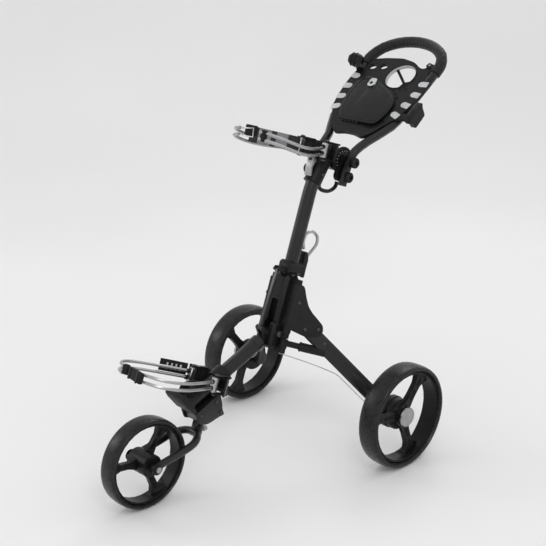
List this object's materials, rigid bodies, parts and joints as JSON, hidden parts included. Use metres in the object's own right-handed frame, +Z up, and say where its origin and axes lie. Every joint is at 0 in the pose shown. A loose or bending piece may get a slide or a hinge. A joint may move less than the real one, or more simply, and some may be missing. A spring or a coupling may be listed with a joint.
{
  "type": "golf push cart",
  "caption": "Three-wheel folding golf push cart, unfolded and empty, with bag cradles, console, cup holder and hand brake.",
  "frame": {"origin": "on the ground, at the middle of the bounding box", "axes": "+Z up, the cart heads towards -Y, its left side is +X"},
  "size_m": [0.683, 1.174, 1.0907],
  "materials": {
    "black_plastic": "satin black",
    "black_tube": "satin black paint",
    "grey_plastic": "satin light grey",
    "rubber": "soft matt",
    "silver": "bright",
    "steel": "black plated",
    "tyre": "matt"
  },
  "bodies": {
    "mast": {"mast_tube": "black_tube", "mast_housing": "black_plastic", "main_pivot_pin": "steel", "mast_collar": "black_plastic", "upper_backrest": "black_plastic"},
    "lock_slide": {"lock_collar": "black_plastic"},
    "latch": {"latch_lever": "black_plastic", "latch_loop": "silver"},
    "link": {"fold_link": "black_plastic"},
    "front_frame": {"front_tube": "black_tube", "front_bracket": "black_plastic", "bag_foot": "black_plastic", "lower_backrest": "black_plastic"},
    "lower_cradle_left": {"lower_arm_left": "silver", "lower_pad_left": "rubber"},
    "lower_cradle_right": {"lower_arm_right": "silver", "lower_pad_right": "rubber", "lower_plate": "black_plastic"},
    "upper_cradle_left": {"upper_arm_left": "silver", "upper_pad_left": "rubber"},
    "upper_cradle_right": {"upper_arm_right": "silver", "upper_pad_right": "rubber", "upper_strap": "black_plastic"},
    "steering": {"fork": "black_plastic", "front_axle": "steel"},
    "knob": {"tracking_knob": "silver"},
    "front_roller": {"front_tyre": "tyre", "front_wheel": "black_plastic"},
    "handle": {"handle_tube": "black_tube", "handle_grip": "rubber", "clutch_disc_left": "black_plastic", "clutch_disc_right": "black_plastic", "clutch_bolt": "steel", "arm_bolt_left": "steel", "arm_bolt_right": "steel", "console_tray": "black_plastic", "umbrella_mount": "black_plastic"},
    "lid": {"console_lid": "black_plastic"},
    "lid_catch": {"lid_latch": "grey_plastic"},
    "brake_paddle": {"brake_lever": "black_plastic"},
    "cam": {"cam_lever": "silver"},
    "rear_leg_left": {"gusset_left": "black_plastic", "leg_left": "black_plastic", "strut_left": "black_plastic", "axle_left": "steel", "brake_housing_left": "black_plastic", "brake_cable_left": "grey_plastic"},
    "rear_roller_left": {"rear_left_tyre": "tyre", "rear_left_wheel": "black_plastic"},
    "cap_left": {"hub_cap_left": "silver"},
    "rear_leg_right": {"gusset_right": "black_plastic", "leg_right": "black_plastic", "strut_right": "black_plastic", "axle_right": "steel", "brake_housing_right": "black_plastic", "brake_cable_right": "grey_plastic"},
    "rear_roller_right": {"rear_right_tyre": "tyre", "rear_right_wheel": "black_plastic"},
    "cap_right": {"hub_cap_right": "silver"}
  },
  "joints": [
    {"name": "frame_fold", "type": "hinge", "parent": "mast", "child": "front_frame", "pos_m": [0, -0.0177, 0.3548], "axis": [-1, 0, 0], "range_deg": [0, 30]},
    {"name": "lock_slide", "type": "slide", "parent": "mast", "child": "lock_slide", "axis": [0, 0.342, 0.9397], "range_m": [0, 0.0228]},
    {"name": "link_swing", "type": "hinge", "parent": "lock_slide", "child": "link", "pos_m": [0, 0.009, 0.5251], "axis": [1, 0, 0], "range_deg": [0, 2.88]},
    {"name": "leg_left_fold", "type": "hinge", "parent": "mast", "child": "rear_leg_left", "pos_m": [0.044, -0.0126, 0.33], "axis": [0, 0.342, 0.9397], "range_deg": [0, 17.55]},
    {"name": "leg_right_fold", "type": "hinge", "parent": "mast", "child": "rear_leg_right", "pos_m": [-0.044, -0.0126, 0.33], "axis": [0, -0.342, -0.9397], "range_deg": [0, 17.55]},
    {"name": "latch_pull", "type": "hinge", "parent": "lock_slide", "child": "latch", "pos_m": [0, 0.09335, 0.49682], "axis": [-1, 0, 0], "range_deg": [0, 12], "stiffness_Nm_per_rad": 0.3},
    {"name": "handle_fold", "type": "hinge", "parent": "mast", "child": "handle", "pos_m": [0, 0.224, 0.795], "axis": [-1, 0, 0], "range_deg": [0, 25]},
    {"name": "cam_clamp", "type": "hinge", "parent": "mast", "child": "cam", "pos_m": [0, 0.139, 0.806], "axis": [-1, 0, 0], "range_deg": [0, 60]},
    {"name": "lower_left_open", "type": "hinge", "parent": "front_frame", "child": "lower_cradle_left", "pos_m": [0.045, -0.258, 0.295], "axis": [0, 0.3584, 0.9336], "range_deg": [0, 30]},
    {"name": "lower_right_open", "type": "hinge", "parent": "front_frame", "child": "lower_cradle_right", "pos_m": [-0.045, -0.258, 0.295], "axis": [0, -0.3584, -0.9336], "range_deg": [0, 30]},
    {"name": "upper_left_open", "type": "hinge", "parent": "mast", "child": "upper_cradle_left", "pos_m": [0.045, 0.144, 0.848], "axis": [0, 0.309, 0.9511], "range_deg": [0, 30]},
    {"name": "upper_right_open", "type": "hinge", "parent": "mast", "child": "upper_cradle_right", "pos_m": [-0.045, 0.144, 0.848], "axis": [0, -0.309, -0.9511], "range_deg": [0, 30]},
    {"name": "lid_open", "type": "hinge", "parent": "handle", "child": "lid", "pos_m": [0, 0.30856, 0.88401], "axis": [1, 0, 0], "range_deg": [0, 80]},
    {"name": "lid_catch_turn", "type": "hinge", "parent": "lid", "child": "lid_catch", "pos_m": [-0.039, 0.42185, 0.97132], "axis": [0, -0.592, 0.8059], "range_deg": [0, 90]},
    {"name": "brake_pull", "type": "hinge", "parent": "handle", "child": "brake_paddle", "pos_m": [0.156, 0.35199, 0.90934], "axis": [1, 0, 0], "range_deg": [0, 20], "stiffness_Nm_per_rad": 0.4},
    {"name": "fork_tracking", "type": "hinge", "parent": "front_frame", "child": "steering", "pos_m": [0, -0.2875, 0.155], "axis": [0, 0.342, 0.9397], "range_deg": [-4, 4]},
    {"name": "tracking_turn", "type": "hinge", "parent": "steering", "child": "knob", "pos_m": [0, -0.269, 0.1465], "axis": [0, 1, 0], "range_deg": [-150, 150]},
    {"name": "front_spin", "type": "hinge", "parent": "steering", "child": "front_roller", "pos_m": [0, -0.466, 0.121], "axis": [1, 0, 0], "continuous": true},
    {"name": "left_spin", "type": "hinge", "parent": "rear_leg_left", "child": "rear_roller_left", "pos_m": [0.3105, 0.175, 0.145], "axis": [1, 0, 0], "continuous": true},
    {"name": "left_cap_push", "type": "slide", "parent": "rear_roller_left", "child": "cap_left", "axis": [-1, 0, 0], "range_m": [0, 0.003], "stiffness_N_per_m": 600},
    {"name": "right_spin", "type": "hinge", "parent": "rear_leg_right", "child": "rear_roller_right", "pos_m": [-0.3105, 0.175, 0.145], "axis": [1, 0, 0], "continuous": true},
    {"name": "right_cap_push", "type": "slide", "parent": "rear_roller_right", "child": "cap_right", "axis": [1, 0, 0], "range_m": [0, 0.003], "stiffness_N_per_m": 600}
  ],
  "couplings": [
    {"joint": "lock_slide", "follows": "frame_fold", "m_per_rad": 0.04323},
    {"joint": "link_swing", "follows": "frame_fold", "ratio": 0.09422},
    {"joint": "leg_left_fold", "follows": "frame_fold", "ratio": 0.5833},
    {"joint": "leg_right_fold", "follows": "frame_fold", "ratio": 0.5833},
    {"joint": "tracking_turn", "follows": "fork_tracking", "ratio": 36}
  ]
}
